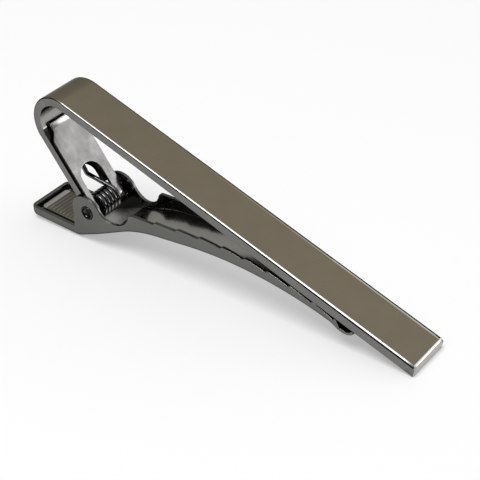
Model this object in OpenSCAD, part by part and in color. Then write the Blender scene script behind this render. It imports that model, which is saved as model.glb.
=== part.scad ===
// Tie clip: a flat front bar whose end loops back to a sprung, toothed jaw.
// Side outlines are drawn with x along the bar, from the loop to the tip,
// and with the bar's front face at height zero.

/* [Front bar] */
// Length of the bar, from the outside of the loop to the tip
bar_length = 58; // [53:0.5:75]
// Width of the bar
bar_width = 6.2; // [5.6:0.1:9]
// Thickness of the strip
bar_thickness = 1.2; // [0.9:0.05:1.6]
// Extra thickness of the strip where the jaw grips and at the tip
tip_swell = 0.25; // [0.05:0.05:0.35]
// Where the strip starts to thicken, from the loop's outside
swell_start = 16; // [10:1:20]
// Where the strip has its full thickness
swell_end = 42; // [36:1:44]
// Flat broken along the outer edges of the strip
edge_break = 0.25; // [0.1:0.05:0.35]
// Rounding of the tip's corners
tip_corner = 0.45; // [0.2:0.05:1]
// Outside radius of the loop
loop_radius = 4.2; // [3.4:0.1:5]
// Angle between the bar and its return leg
return_angle = 36.5; // [32:0.5:40]
// Straight length of the return leg
return_length = 9.2; // [8.6:0.1:9.3]

/* [Hinge bracket] */
// Thickness of the bracket's sheet
bracket_sheet = 0.45; // [0.3:0.05:0.6]
// Width of the bracket
bracket_width = 5.8; // [5.4:0.1:6]
// Width of the bracket's upper end
bracket_end_width = 4.2; // [3:0.1:5]
// Angle that the bracket follows round the inside of the loop
bracket_lap_angle = 18; // [5:1:30]
// Where the upper end starts to widen, along the return leg
shoulder_start = 0.4; // [0.1:0.1:1]
// Length over which it widens
shoulder_length = 1.2; // [0.6:0.1:2]
// Width of the slot that the spring sits in
slot_width = 3.5; // [3.4:0.05:3.7]
// Round end of the slot, along the return leg
slot_start = 5.75; // [5:0.05:6.2]
// Shift of the slot and the spring to the near side
slot_shift = 0.3; // [0:0.05:0.4]
// Gap left at the end of each rolled tine
roll_gap = 0.15; // [0.05:0.05:0.25]

/* [Hinge pin] */
// Gap under each head of the pin
head_gap = 0.05; // [0.03:0.01:0.1]
// Distance of the pin along the return leg
pin_reach = 11.2; // [11:0.05:11.5]
// Depth of the pin's axis below the bracket's sheet
pin_sink = 0.35; // [0.3:0.05:0.45]
// Diameter of the pin
pin_d = 1.15; // [0.9:0.05:1.2]
// Diameter of the pin's heads
head_d = 1.5; // [1.3:0.05:1.7]
// Height of the pin's heads
head_height = 0.6; // [0.3:0.05:0.7]
// Running clearance of the ears round the pin, on the radius
ear_play = 0.03; // [0.01:0.01:0.08]
// Fit of the rolled tines round the pin, on the radius
tine_fit = 0.01; // [0:0.005:0.02]

/* [Jaw lever] */
// Thickness of the jaw's sheet
jaw_sheet = 0.42; // [0.34:0.02:0.6]
// Gap between the return leg and each ear
ear_side_gap = 0.06; // [0.04:0.02:0.2]
// Gap left between the closed jaw and the bar
closed_gap = 0.05; // [0.04:0.01:0.1]
// Radius of the ears
ear_radius = 2.3; // [2:0.05:2.5]
// Diameter of the recess in each ear round the pin's head
recess_d = 2; // [1.8:0.05:2.3]
// Depth of that recess
recess_depth = 0.2; // [0.1:0.05:0.25]
// Depth of the web under the pin, square to it
web_depth = 3.3; // [3:0.05:3.6]
// Slope of the web at the hinge
hinge_slope = 42.2; // [38:0.2:46]
// Slope of the web ahead of its bend
arm_slope = 25.7; // [22:0.1:29]
// Distance from under the pin to the web's bend
bend_reach = 7.25; // [6.8:0.05:8.5]
// Radius of that bend
bend_radius = 20; // [5:1:22]
// Radius of the long curve of the arm's underside
arm_radius = 50; // [42:1:55]
// Height of the jaw at its nose
nose_height = 1.2; // [1:0.05:1.4]
// Outside radius of the curled nose
nose_radius = 1.55; // [1.5:0.05:2.2]
// Straight part of the web behind the nose
nose_flat = 0.6; // [0.2:0.1:2]

/* [Ear outline and teeth] */
// Place of the scallop ahead of the ear, from the pin along the bar
scallop_ahead = 3.35; // [3.1:0.05:3.7]
// Place of the scallop's centre above the pin
scallop_rise = 3.5; // [3.3:0.05:3.8]
// Distance from the scallop to the first tooth's point
first_tooth_reach = 3.95; // [3.2:0.05:4.5]
// Spacing of the teeth along the bar
tooth_pitch = 3.25; // [2.4:0.05:4.5]
// Depth of the teeth
tooth_depth = 0.3; // [0.1:0.05:0.5]
// Length of each tooth's steep side
tooth_step = 0.3; // [0.1:0.05:0.5]
// Rounding of the corner ahead of the scallop
peak_radius = 0.8; // [0.3:0.05:1]
// Radius of the long curve that the teeth follow
crest_radius = 45; // [40:1:50]
// Distance from the end of the arm's curve back to the level part of the teeth
crest_back = 3.9; // [2:0.1:5]
// Distance from the end of the arm's curve back to the end of the side walls
wall_back = 0.6; // [0.2:0.1:1.5]

/* [Thumb pad] */
// Slope of the pad against the bar
pad_slope = 17.2; // [14:0.2:20]
// Length of the pad's underside, from its end to its heel
pad_length = 8.4; // [6.5:0.1:9]
// Distance from under the pin back to the heel, along the web
heel_back = 4; // [3.6:0.1:4.4]
// Radius of the heel's bend
heel_radius = 2; // [1:0.1:3]
// Radius of the bend at the pad's end
tail_radius = 0.8; // [0.6:0.05:1.1]
// Height of the rim round the pad
rim_height = 1.5; // [1.2:0.05:1.8]
// Distance from the heel back to where the rim meets the ear
rim_stop = 0.4; // [0.1:0.1:1]
// Height of the raised panel above the pad's floor
panel_height = 0.5; // [0.2:0.05:0.6]
// Gap between the raised panel and the rim
panel_margin = 0.8; // [0.4:0.1:1.2]
// Length of the raised panel's plain band
band_length = 0.75; // [0.4:0.05:1.2]
// Spacing of the ribs on the panel
rib_pitch = 0.6; // [0.5:0.05:0.9]
// Width of each rib
rib_width = 0.3; // [0.2:0.05:0.4]
// Height of each rib
rib_height = 0.12; // [0.05:0.01:0.2]
// Rounding of the pad's outer corners, seen from above
pad_corner = 0.8; // [0.6:0.1:1]

/* [Ear flare] */
// Where the walls start to widen towards the ears, from the pin along the bar
flare_front = 6.3; // [5.5:0.1:7.5]
// Where the walls have reached the ears' width
flare_back = 2; // [1:0.1:3]

/* [Spring] */
// Diameter of the wire
wire_d = 0.45; // [0.3:0.05:0.5]
// Mean diameter of the coil
coil_d = 3; // [2.8:0.1:3.2]
// Whole turns of the coil, besides the part turn between its legs
whole_turns = 3; // [2:1:3]
// Gap between the coil and each side of the slot
coil_side_gap = 0.05; // [0.02:0.01:0.1]
// Angle between the spring's upper leg and the return leg
upper_leg_angle = 40; // [34:1:46]
// Gap between the upper leg's corner and the return leg
upper_leg_gap = 0.35; // [0.2:0.05:0.5]
// Overlap of the upper leg's tip beyond the slot
upper_leg_lap = 0.9; // [0.5:0.1:1.5]
// Sideways slant of the upper leg towards the middle of the slot
upper_leg_slant = 0.5; // [0:0.1:1]
// Direction of the spring's lower leg
lower_leg_angle = 220; // [216:1:224]
// Gap between the spring's tips and what they press on
tip_gap = 0.05; // [0.02:0.01:0.1]

/* [Hidden] */
$fn = 96;

// Overrun of every cut
over = bar_thickness;
// Widest any side cut has to reach
reach = bar_length;

// Steps along the drawn curves
arm_steps = 14;
bend_steps = 6;
heel_steps = 6;
curl_steps = 8;
ear_steps = 16;
scallop_steps = 14;
peak_steps = 6;

// Rings for each turn of the spring, and sides of its tube
turn_rings = 8;
wire_sides = 6;

gunmetal = [0.44, 0.41, 0.37];
dark_steel = [0.42, 0.42, 0.41];
bright_steel = [0.72, 0.72, 0.72];
spring_steel = [0.30, 0.30, 0.31];

// Full thickness of the strip
tip_thickness = bar_thickness + tip_swell;

// Loop and return leg
loop_centre = [loop_radius, -loop_radius];
leg_start = loop_centre - loop_radius * [sin(return_angle), cos(return_angle)];
leg_along = [cos(return_angle), -sin(return_angle)];
leg_out = [sin(return_angle), cos(return_angle)];
pin_r = pin_d / 2;
pin_level = bar_thickness - pin_sink;
roll_r = pin_r + tine_fit + bracket_sheet;
pin_place = leg_start + pin_reach * leg_along + pin_level * leg_out;

// Widths across the ears
ear_inner = bar_width + 2 * ear_side_gap;
ear_outer = ear_inner + 2 * jaw_sheet;

// Web of the jaw, from under the pin to the bend, then to the nose
hinge_along = [cos(hinge_slope), sin(hinge_slope)];
web_foot = pin_place + web_depth * [sin(hinge_slope), -cos(hinge_slope)];
bend_corner = web_foot + bend_reach * hinge_along;
bend_cut = bend_radius * tan((hinge_slope - arm_slope) / 2);
nose_level = -(tip_thickness + closed_gap + nose_height);
arm_rise = arm_radius * (1 - cos(arm_slope));
arm_straight = (nose_level - bend_corner[1] - arm_rise) / sin(arm_slope);
nose_x = bend_corner[0] + arm_straight * cos(arm_slope) + arm_radius * sin(arm_slope);
arm_centre = [nose_x, nose_level - arm_radius];
bend_start = bend_corner + bend_cut * [cos(arm_slope), sin(arm_slope)];
bend_centre = bend_start + bend_radius * [sin(arm_slope), -cos(arm_slope)];
curl_centre = [nose_x + nose_flat, nose_level + nose_radius];
// The curl stops where its inner corner reaches the level of the teeth
nose_curl = 90 - asin((nose_radius - nose_height) / (nose_radius - jaw_sheet));

// Thumb pad
pad_along = [cos(pad_slope), sin(pad_slope)];
pad_up = [-sin(pad_slope), cos(pad_slope)];
heel_corner = web_foot - heel_back * hinge_along;
heel_cut = heel_radius * tan((hinge_slope - pad_slope) / 2);
heel_centre = heel_corner - heel_cut * pad_along + heel_radius * pad_up;
tail_centre = heel_corner - (pad_length - tail_radius) * pad_along + tail_radius * pad_up;
panel_top = jaw_sheet + panel_height;
panel_start = jaw_sheet + panel_margin / 2;
band_end = panel_start + band_length;
panel_end = pad_length - heel_cut;
rib_count = floor((panel_end - band_end) / rib_pitch);

// Ear, scallop and teeth
scallop_centre = pin_place + [scallop_ahead, scallop_rise];
scallop_r = norm([scallop_ahead, scallop_rise]) - ear_radius;
scallop_meet = atan2(scallop_rise, scallop_ahead);
crest_level = -(tip_thickness + closed_gap);
crest_x = nose_x - crest_back;
crest_start = crest_x - crest_radius * sin(arm_slope);
crest_rise = crest_radius * (1 - cos(arm_slope));
peak_x = scallop_centre[0] + scallop_r + peak_radius;
first_tooth = scallop_centre[0] + scallop_r + first_tooth_reach;
wall_end = nose_x - wall_back;
tooth_count = floor((wall_end - first_tooth) / tooth_pitch);

// Pose of the clip as it lies on a table: on the bend of its heel and the bar's tip
tip_to_heel = [bar_length, -tip_thickness] - heel_centre;
rest_tilt = asin(heel_radius / norm(tip_to_heel)) + atan2(tip_to_heel[1], tip_to_heel[0]);
rim_top = tail_centre - tail_radius * pad_along + (rim_height - tail_radius) * pad_up;
low_x = pad_slope > rest_tilt ? turned(rim_top)[0] : turned(tail_centre)[0] - tail_radius;
high_x = turned([bar_length, -edge_break])[0];
low_z = turned([bar_length, -tip_thickness])[1];
echo(rest_tilt = rest_tilt, pin_place = at_rest(pin_place), face_centre = at_rest([bar_length / 2, 0]));

// Spring
wire_r = wire_d / 2;
coil_r = coil_d / 2;
coil_half = slot_width / 2 - coil_side_gap - wire_r;
upper_heading = 180 - return_angle + upper_leg_angle;
upper_angle = upper_heading - 90;
lower_angle = lower_leg_angle + 90;
coil_sweep = 360 * whole_turns + upper_angle - lower_angle + 360;
coil_rings = ceil(coil_sweep / 360 * turn_rings);
upper_start = pin_place + coil_r * [cos(upper_angle), sin(upper_angle)];
lower_start = pin_place + coil_r * [cos(lower_angle), sin(lower_angle)];
upper_level = (upper_start - leg_start) * leg_out;
corner_level = -(wire_r + upper_leg_gap);
corner_length = (upper_level - corner_level) / sin(upper_leg_angle);
upper_corner = upper_start + corner_length * [cos(upper_heading), sin(upper_heading)];
upper_tip = leg_start + (slot_start - upper_leg_lap) * leg_along - (wire_r + tip_gap) * leg_out;
lower_along = [cos(lower_leg_angle), sin(lower_leg_angle)];
lower_drop = (lower_start - heel_corner) * pad_up - panel_top - rib_height - wire_r - tip_gap;
lower_tip = lower_start - lower_drop / (lower_along * pad_up) * lower_along;

// A side-view point turned by the resting tilt, and the same point in the finished frame
function turned(p) =
    [p[0] * cos(rest_tilt) + p[1] * sin(rest_tilt), p[1] * cos(rest_tilt) - p[0] * sin(rest_tilt)];
function at_rest(p) = turned(p) - [(low_x + high_x) / 2, low_z];

// Points of an arc from angle a to angle b
function arc(centre, r, a, b, steps) =
    [for (i = [0 : steps]) centre + r * [cos(a + (b - a) * i / steps), sin(a + (b - a) * i / steps)]];

// A point of the thumb pad: so far from its end, so far above its underside
function on_pad(along, up) = heel_corner + (along - pad_length) * pad_along + up * pad_up;

function reversed(points) = [for (i = [len(points) - 1 : -1 : 0]) points[i]];

// The web's outer line moved inwards by depth: up the pad's end, then from there to the nose
function web_back(depth) = concat(
    [tail_centre - (tail_radius - depth) * pad_along + (rim_height - tail_radius) * pad_up],
    arc(tail_centre, tail_radius - depth, 180 + pad_slope, 270 + pad_slope, heel_steps),
    arc(heel_centre, heel_radius - depth, 270 + pad_slope, 270 + hinge_slope, heel_steps),
    arc(bend_centre, bend_radius + depth, 90 + hinge_slope, 90 + arm_slope, bend_steps),
    arc(arm_centre, arm_radius + depth, 90 + arm_slope, 90, arm_steps));

function web_nose(depth) = arc(curl_centre, nose_radius - depth, 270, 270 + nose_curl, curl_steps);

// Height of the line through the teeth's points
function crest(x) =
    x > crest_x ? crest_level :
    x > crest_start
        ? crest_level - crest_radius + sqrt(pow(crest_radius, 2) - pow(crest_x - x, 2))
        : crest_level - crest_rise - (crest_start - x) * tan(arm_slope);

// One tooth: the root before it, then its point
function tooth(x) = [[x - tooth_step, crest(x) - tooth_depth], [x, crest(x)]];

function teeth() = [for (i = [0 : tooth_count]) each tooth(first_tooth + i * tooth_pitch)];

// Stands a side outline up at the given width
module side(width) {
    rotate([90, 0, 0])
        linear_extrude(height = width, center = true)
            children();
}

// Puts a piece that is drawn with its bar level into the pose in which the clip lies on a table
module in_rest_pose() {
    translate([-(low_x + high_x) / 2, 0, -low_z])
        rotate([0, rest_tilt, 0])
            children();
}

// Puts a piece that is drawn along the return leg into its place on it
module on_return_leg() {
    translate([leg_start[0], 0, leg_start[1]])
        rotate([0, return_angle, 0])
            children();
}

// What is cut away to round a corner whose point is at the origin
module corner_waste(radius) {
    difference() {
        translate([-radius, -radius])
            square([radius + over, radius + over]);
        translate([-radius, -radius])
            circle(r = radius);
    }
}

// Cross-section of the strip: its outer face at zero, with both outer edges broken
module strip_section() {
    half = bar_width / 2;
    polygon([
        [-bar_thickness, -half],
        [-edge_break, -half],
        [0, -half + edge_break],
        [0, half - edge_break],
        [-edge_break, half],
        [-bar_thickness, half]
    ]);
}

module slot_plan() {
    translate([slot_start + slot_width / 2, -slot_shift]) {
        circle(d = slot_width);
        translate([0, -slot_width / 2])
            square([pin_reach, slot_width]);
    }
}

module front_bar() {
    color(gunmetal)
        in_rest_pose() {
            difference() {
                union() {
                    translate([bar_length, 0, 0])
                        rotate([0, -90, 0])
                            linear_extrude(height = bar_length - loop_radius)
                                strip_section();
                    side(bar_width)
                        polygon([
                            [swell_start, -edge_break],
                            [swell_start, -bar_thickness],
                            [swell_end, -tip_thickness],
                            [bar_length, -tip_thickness],
                            [bar_length, -edge_break]
                        ]);
                }
                side(bar_width + 2 * over)
                    polygon([
                        [bar_length - edge_break, 0],
                        [bar_length + over, -edge_break - over],
                        [bar_length + over, over],
                        [bar_length - edge_break, over]
                    ]);
                translate([bar_length, 0, -bar_thickness - over])
                    for (end = [0, 1])
                        mirror([0, end, 0])
                            translate([0, bar_width / 2, 0])
                                linear_extrude(height = bar_thickness + 2 * over)
                                    corner_waste(tip_corner);
            }
            translate([loop_centre[0], 0, loop_centre[1]])
                rotate([90, 0, 0])
                    rotate([0, 0, 90])
                        rotate_extrude(angle = 180 - return_angle)
                            translate([loop_radius, 0])
                                strip_section();
            on_return_leg()
                difference() {
                    rotate([0, 90, 0])
                        linear_extrude(height = return_length)
                            strip_section();
                    translate([0, 0, -over])
                        linear_extrude(height = bar_thickness + 2 * over)
                            slot_plan();
                }
        }
}

// Side view of the bracket: the lap round the loop, the flat plate and the roll round the pin
module bracket_outline() {
    lap_r = loop_radius - bar_thickness;
    translate([0, loop_radius])
        intersection() {
            difference() {
                circle(r = lap_r);
                circle(r = lap_r - bracket_sheet);
            }
            polygon([
                [0, 0],
                [-loop_radius * sin(bracket_lap_angle), -loop_radius * cos(bracket_lap_angle)],
                [0, -loop_radius]
            ]);
        }
    difference() {
        union() {
            translate([0, bar_thickness])
                square([pin_reach, bracket_sheet]);
            translate([pin_reach, pin_level])
                circle(r = roll_r);
        }
        translate([pin_reach, pin_level]) {
            circle(r = pin_r + tine_fit);
            translate([-roll_r - over, roll_gap])
                square([roll_r + over, pin_sink - roll_gap]);
        }
    }
}

module bracket_plan() {
    half = bracket_width / 2;
    end_half = bracket_end_width / 2;
    shoulder_end = shoulder_start + shoulder_length;
    difference() {
        polygon([
            [-loop_radius, -end_half],
            [shoulder_start, -end_half],
            [shoulder_end, -half],
            [pin_reach + roll_r + over, -half],
            [pin_reach + roll_r + over, half],
            [shoulder_end, half],
            [shoulder_start, end_half],
            [-loop_radius, end_half]
        ]);
        slot_plan();
    }
}

module hinge_bracket() {
    color(bright_steel)
        in_rest_pose()
            on_return_leg()
                intersection() {
                    side(bracket_width)
                        bracket_outline();
                    translate([0, 0, -roll_r - over])
                        linear_extrude(height = loop_radius + roll_r + over)
                            bracket_plan();
                }
}

// One head of the pin: a shallow dome
module pin_head() {
    head_r = head_d / 2;
    dome_r = (head_r * head_r + head_height * head_height) / (2 * head_height);
    intersection() {
        translate([0, 0, head_height - dome_r])
            sphere(r = dome_r);
        cylinder(h = head_height, r = head_r);
    }
}

module hinge_pin() {
    shank = ear_outer - 2 * recess_depth + 2 * head_gap;
    color(dark_steel)
        in_rest_pose()
            translate([pin_place[0], 0, pin_place[1]])
                rotate([90, 0, 0]) {
                    cylinder(h = shank, d = pin_d, center = true);
                    for (end = [0, 1])
                        mirror([0, 0, end])
                            translate([0, 0, shank / 2])
                                pin_head();
                }
}

// Side view of the jaw's walls: rim, ears, scallop and teeth, closed along the web's outer line
module wall_outline() {
    peak_centre = [peak_x, crest(peak_x) - peak_radius / cos(arm_slope)];
    difference() {
        polygon(concat(
            [heel_corner - rim_stop * pad_along + rim_height * pad_up],
            arc(pin_place, ear_radius, 180 + pad_slope, scallop_meet, ear_steps),
            arc(scallop_centre, scallop_r, 180 + scallop_meet, 360, scallop_steps),
            arc(peak_centre, peak_radius, 180, 90 + arm_slope, peak_steps),
            teeth(),
            [
                [wall_end, crest_level],
                [wall_end + nose_height, nose_level]
            ],
            reversed(web_back(0))));
        translate(pin_place)
            circle(r = pin_r + ear_play);
    }
}

// Side view of the jaw's web, from the top of the pad's end to the curled nose
module web_outline() {
    polygon(concat(
        web_back(0),
        web_nose(0),
        reversed(web_nose(jaw_sheet)),
        reversed(web_back(jaw_sheet))));
}

// Side view of the raised panel on the pad's floor, with its ribs
module panel_outline() {
    polygon([
        on_pad(panel_start, jaw_sheet / 2),
        on_pad(panel_end, jaw_sheet / 2),
        on_pad(panel_end, panel_top),
        on_pad(panel_start, panel_top)
    ]);
    for (i = [0 : rib_count - 1])
        let (rib = band_end + (i + 1 / 2) * rib_pitch)
            polygon([
                on_pad(rib - rib_width / 2, panel_top - panel_height / 2),
                on_pad(rib + rib_width / 2, panel_top - panel_height / 2),
                on_pad(rib + rib_width / 2, panel_top + rib_height),
                on_pad(rib - rib_width / 2, panel_top + rib_height)
            ]);
}

// Plan of the jaw, moved inwards by depth: wide at the pad and the ears, then as wide as the bar
module jaw_plan(depth) {
    ear_half = ear_outer / 2 - depth;
    arm_half = bar_width / 2 - depth;
    flare_out = pin_place[0] + flare_back;
    flare_in = pin_place[0] + flare_front;
    polygon([
        [-reach, -ear_half],
        [flare_out, -ear_half],
        [flare_in, -arm_half],
        [reach, -arm_half],
        [reach, arm_half],
        [flare_in, arm_half],
        [flare_out, ear_half],
        [-reach, ear_half]
    ]);
}

module in_jaw_plan(depth) {
    translate([0, 0, -reach])
        linear_extrude(height = reach)
            jaw_plan(depth);
}

// What is cut away to round the two corners at the pad's end
module pad_corners() {
    translate([heel_corner[0], 0, heel_corner[1]])
        rotate([0, -pad_slope, 0])
            for (end = [0, 1])
                mirror([0, end, 0])
                    translate([-pad_length, ear_outer / 2, -over])
                        mirror([1, 0, 0])
                            linear_extrude(height = rim_height + 2 * over)
                                corner_waste(pad_corner);
}

// Recesses in the ears round the pin's heads
module ear_recesses() {
    translate([pin_place[0], 0, pin_place[1]])
        for (end = [0, 1])
            mirror([0, end, 0])
                translate([0, ear_outer / 2 + over, 0])
                    rotate([90, 0, 0])
                        cylinder(h = recess_depth + over, d = recess_d);
}

module jaw_lever() {
    color(dark_steel)
        in_rest_pose() {
            difference() {
                intersection() {
                    side(ear_outer + 2 * over)
                        wall_outline();
                    difference() {
                        in_jaw_plan(0);
                        in_jaw_plan(jaw_sheet);
                    }
                }
                ear_recesses();
                pad_corners();
            }
            difference() {
                intersection() {
                    side(ear_outer + 2 * over)
                        web_outline();
                    in_jaw_plan(0);
                }
                pad_corners();
            }
            side(ear_inner - 2 * panel_margin)
                panel_outline();
        }
}

// Path of the spring's wire as [x, y, z]: upper leg, coil, lower leg
function coil_point(i) =
    let (share = i / coil_rings, a = upper_angle - coil_sweep * share)
    [pin_place[0] + coil_r * cos(a), coil_half * (1 - 2 * share) - slot_shift, pin_place[1] + coil_r * sin(a)];

function placed(p, y) = [p[0], y - slot_shift, p[1]];

wire_path = concat(
    [placed(upper_tip, coil_half - upper_leg_slant), placed(upper_corner, coil_half - upper_leg_slant)],
    [for (i = [0 : coil_rings]) coil_point(i)],
    [placed(lower_tip, -coil_half)]);

function unit(v) = v / norm(v);

// Direction of the wire at ring i
function wire_heading(i) =
    let (last = len(wire_path) - 1)
    unit(unit(wire_path[min(i + 1, last)] - wire_path[min(i, last - 1)])
        + unit(wire_path[max(i, 1)] - wire_path[max(i - 1, 0)]));

// Corners of ring i, square to the wire
function wire_ring(i) =
    let (
        heading = wire_heading(i),
        across = unit([0, 1, 0] - heading[1] * heading),
        up = cross(heading, across)
    )
    [for (k = [0 : wire_sides - 1])
        wire_path[i] + wire_r * (cos(360 * k / wire_sides) * across + sin(360 * k / wire_sides) * up)];

// Least gap of the spring to itself, between rings half a turn apart or more
spring_gap = min([
    for (i = [0 : len(wire_path) - 1], j = [0 : i - turn_rings / 2])
        norm(wire_path[i] - wire_path[j]) - wire_d
]);
echo(least_gap_of_spring_to_itself = spring_gap);

module torsion_spring() {
    rings = len(wire_path);
    corners = [for (i = [0 : rings - 1]) each wire_ring(i)];
    walls = [
        for (i = [0 : rings - 2], k = [0 : wire_sides - 1])
            let (
                a = i * wire_sides + k,
                b = i * wire_sides + (k + 1) % wire_sides
            )
            each [[a, b, b + wire_sides], [a, b + wire_sides, a + wire_sides]]
    ];
    first_cap = [for (k = [1 : wire_sides - 2]) [0, k + 1, k]];
    last = (rings - 1) * wire_sides;
    last_cap = [for (k = [1 : wire_sides - 2]) [last, last + k, last + k + 1]];
    color(spring_steel)
        in_rest_pose()
            polyhedron(points = corners, faces = concat(walls, first_cap, last_cap));
}

front_bar();
hinge_bracket();
hinge_pin();
jaw_lever();
torsion_spring();
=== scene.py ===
from contextlib import contextmanager
from math import acos, asin, atan2, ceil, cos, degrees, floor, hypot, radians, sin, sqrt, tan

import bmesh
import bpy
from mathutils import Matrix, Quaternion, Vector


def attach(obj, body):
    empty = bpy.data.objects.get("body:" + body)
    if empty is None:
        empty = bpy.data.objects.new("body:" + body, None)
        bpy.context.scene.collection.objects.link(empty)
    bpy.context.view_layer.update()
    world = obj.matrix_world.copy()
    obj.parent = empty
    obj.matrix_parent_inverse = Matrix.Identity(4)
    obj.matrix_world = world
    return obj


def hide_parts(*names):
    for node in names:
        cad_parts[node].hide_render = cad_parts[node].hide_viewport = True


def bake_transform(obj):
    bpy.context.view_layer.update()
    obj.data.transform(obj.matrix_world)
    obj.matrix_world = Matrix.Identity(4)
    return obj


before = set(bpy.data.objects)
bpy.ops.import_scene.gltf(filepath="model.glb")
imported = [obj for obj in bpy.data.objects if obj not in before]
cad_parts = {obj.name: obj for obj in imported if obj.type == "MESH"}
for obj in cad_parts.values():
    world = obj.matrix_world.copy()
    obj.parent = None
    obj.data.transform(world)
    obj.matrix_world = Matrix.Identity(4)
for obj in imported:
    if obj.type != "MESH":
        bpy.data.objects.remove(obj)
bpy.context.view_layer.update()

scene = bpy.context.scene

# ---------------------------------------------------------------- sizes, in millimetres, as in the CAD source
# Side outlines have x along the bar from the loop to the tip, and z = 0 at the bar's front face.
LENGTH, WIDTH, THICK, TIP_THICK = 58.0, 6.2, 1.2, 1.45
SWELL = (16.0, 42.0)            # the strip thickens between these, from the loop towards the tip
LOOP_R, RETURN, LEG = 4.2, 36.5, 9.2            # loop's outer radius, slope and length of the return leg
TILT = 19.90934                 # slope of the bar when the clip lies on the table
SHIFT = (-24.784952, 0.0, 21.114244)            # where the outlines' origin lies in the frame
SHEET = 0.42                    # the jaw's sheet
EAR_GAP, CLOSED = 0.06, 0.05    # room beside the return leg, and between the closed jaw and the bar
PIN_R, PIN_REACH, PIN_LEVEL = 0.575, 11.2, 0.85            # the pin's radius, and its place along and under the leg
SLOT_W, SLOT_START, SLOT_SHIFT = 3.5, 5.75, 0.3            # slot through the return leg and the bracket


def cosd(a):
    return cos(radians(a))


def sind(a):
    return sin(radians(a))


def v2(x, z):
    return Vector((x, z))


def in_3d(p):
    return Vector((p.x, 0, p.y))


def arc(c, r, a, b, n):
    return [v2(c[0] + r * cosd(a + (b - a) * i / n), c[1] + r * sind(a + (b - a) * i / n)) for i in range(n + 1)]


loop_c = v2(LOOP_R, -LOOP_R)
leg_start = loop_c - LOOP_R * v2(sind(RETURN), cosd(RETURN))
leg_along, leg_out = v2(cosd(RETURN), -sind(RETURN)), v2(sind(RETURN), cosd(RETURN))
pin = leg_start + PIN_REACH * leg_along + PIN_LEVEL * leg_out
CLIP = Matrix.Scale(0.001, 4) @ Matrix.Translation(SHIFT) @ Matrix.Rotation(radians(TILT), 4, "Y")
ON_LEG = Matrix.Translation(in_3d(leg_start)) @ Matrix.Rotation(radians(RETURN), 4, "Y")


def on_leg(c):
    """A point's distance along the return leg, and its depth inside the leg's outer face."""
    rel = v2(c.x, c.z) - leg_start
    return rel.dot(leg_along), rel.dot(leg_out)


# ---------------------------------------------------------------- mesh helpers
def new_object(name, bm):
    bmesh.ops.recalc_face_normals(bm, faces=bm.faces[:])
    mesh = bpy.data.meshes.new(name)
    bm.to_mesh(mesh)
    bm.free()
    obj = bpy.data.objects.new(name, mesh)
    scene.collection.objects.link(obj)
    return obj


@contextmanager
def mesh_of(obj):
    """The object's mesh, opened to be changed."""
    bm = bmesh.new()
    bm.from_mesh(obj.data)
    yield bm
    bm.to_mesh(obj.data)
    bm.free()


def prism(name, outline, low, high, axis="Y", matrix=None):
    """A closed outline stood up between two levels along Y (side outlines) or Z (plans)."""
    bm = bmesh.new()
    rows = []
    for level in (low, high):
        rows.append([bm.verts.new((p[0], level, p[1]) if axis == "Y" else (p[0], p[1], level)) for p in outline])
    bm.faces.new(rows[0])
    bm.faces.new(list(reversed(rows[1])))
    n = len(outline)
    for i in range(n):
        j = (i + 1) % n
        bm.faces.new((rows[0][i], rows[0][j], rows[1][j], rows[1][i]))
    if matrix is not None:
        bm.transform(matrix)
    return new_object(name, bm)


def settle(obj):
    """Applies the object's modifiers to its mesh."""
    bpy.context.view_layer.update()
    mesh = bpy.data.meshes.new_from_object(obj.evaluated_get(bpy.context.evaluated_depsgraph_get()))
    obj.modifiers.clear()
    obj.data = mesh
    return obj


def combine(obj, other, operation):
    mod = obj.modifiers.new("combine", "BOOLEAN")
    mod.operation, mod.object, mod.solver = operation, other, "EXACT"
    settle(obj)
    bpy.data.objects.remove(other)
    return obj


def clean(obj, near=0.004, flat=0.4):
    """Joins points that nearly touch, and faces that lie in one plane."""
    with mesh_of(obj) as bm:
        bmesh.ops.remove_doubles(bm, verts=bm.verts[:], dist=near)
        bmesh.ops.dissolve_limit(bm, angle_limit=radians(flat), verts=bm.verts[:], edges=bm.edges[:])


def cut(bm, co, no, near=0.0):
    """Cuts the faces along a plane."""
    geom = bm.verts[:] + bm.edges[:] + bm.faces[:]
    bmesh.ops.bisect_plane(bm, geom=geom, plane_co=co, plane_no=no, dist=near)


def round_edges(obj, width, segments, weight=None, angle=38):
    """Rounds the object's sharp edges. weight gives the share of the width for an edge and its middle."""
    mod = obj.modifiers.new("round", "BEVEL")
    mod.width, mod.segments, mod.use_clamp_overlap = width, segments, False
    mod.miter_outer = "MITER_ARC"
    if weight is None:
        mod.limit_method, mod.angle_limit = "ANGLE", radians(angle)
    else:
        mod.limit_method = "WEIGHT"
        with mesh_of(obj) as bm:
            layer = bm.edges.layers.float.get("bevel_weight_edge") or bm.edges.layers.float.new("bevel_weight_edge")
            for e in bm.edges:
                if len(e.link_faces) == 2 and e.calc_face_angle() > radians(angle):
                    e[layer] = weight((e.verts[0].co + e.verts[1].co) / 2, e)
    return settle(obj)


def finish_piece(obj, materials, body, nodes, matrix=CLIP, sharp=50, pick=None):
    """Smooth shading with flats kept flat, the piece's place in the frame, its body and its materials.

    pick gives the material of a face from the face's middle and normal, in the axes that the piece was drawn in."""
    obj.data.transform(matrix)
    back = matrix.inverted()
    for p in obj.data.polygons:
        p.use_smooth = True
    obj.data.set_sharp_from_angle(angle=radians(sharp))
    mod = obj.modifiers.new("normals", "WEIGHTED_NORMAL")
    mod.keep_sharp, mod.weight = True, 60
    settle(obj)
    obj.data.materials.clear()
    for m in materials:
        obj.data.materials.append(m)
    if pick:
        for p in obj.data.polygons:
            chosen = pick(back @ p.center, (back.to_3x3() @ p.normal).normalized())
            p.material_index = materials.index(chosen)
    if body:
        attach(obj, body)
    if nodes:
        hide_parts(*nodes)
    return obj


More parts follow.
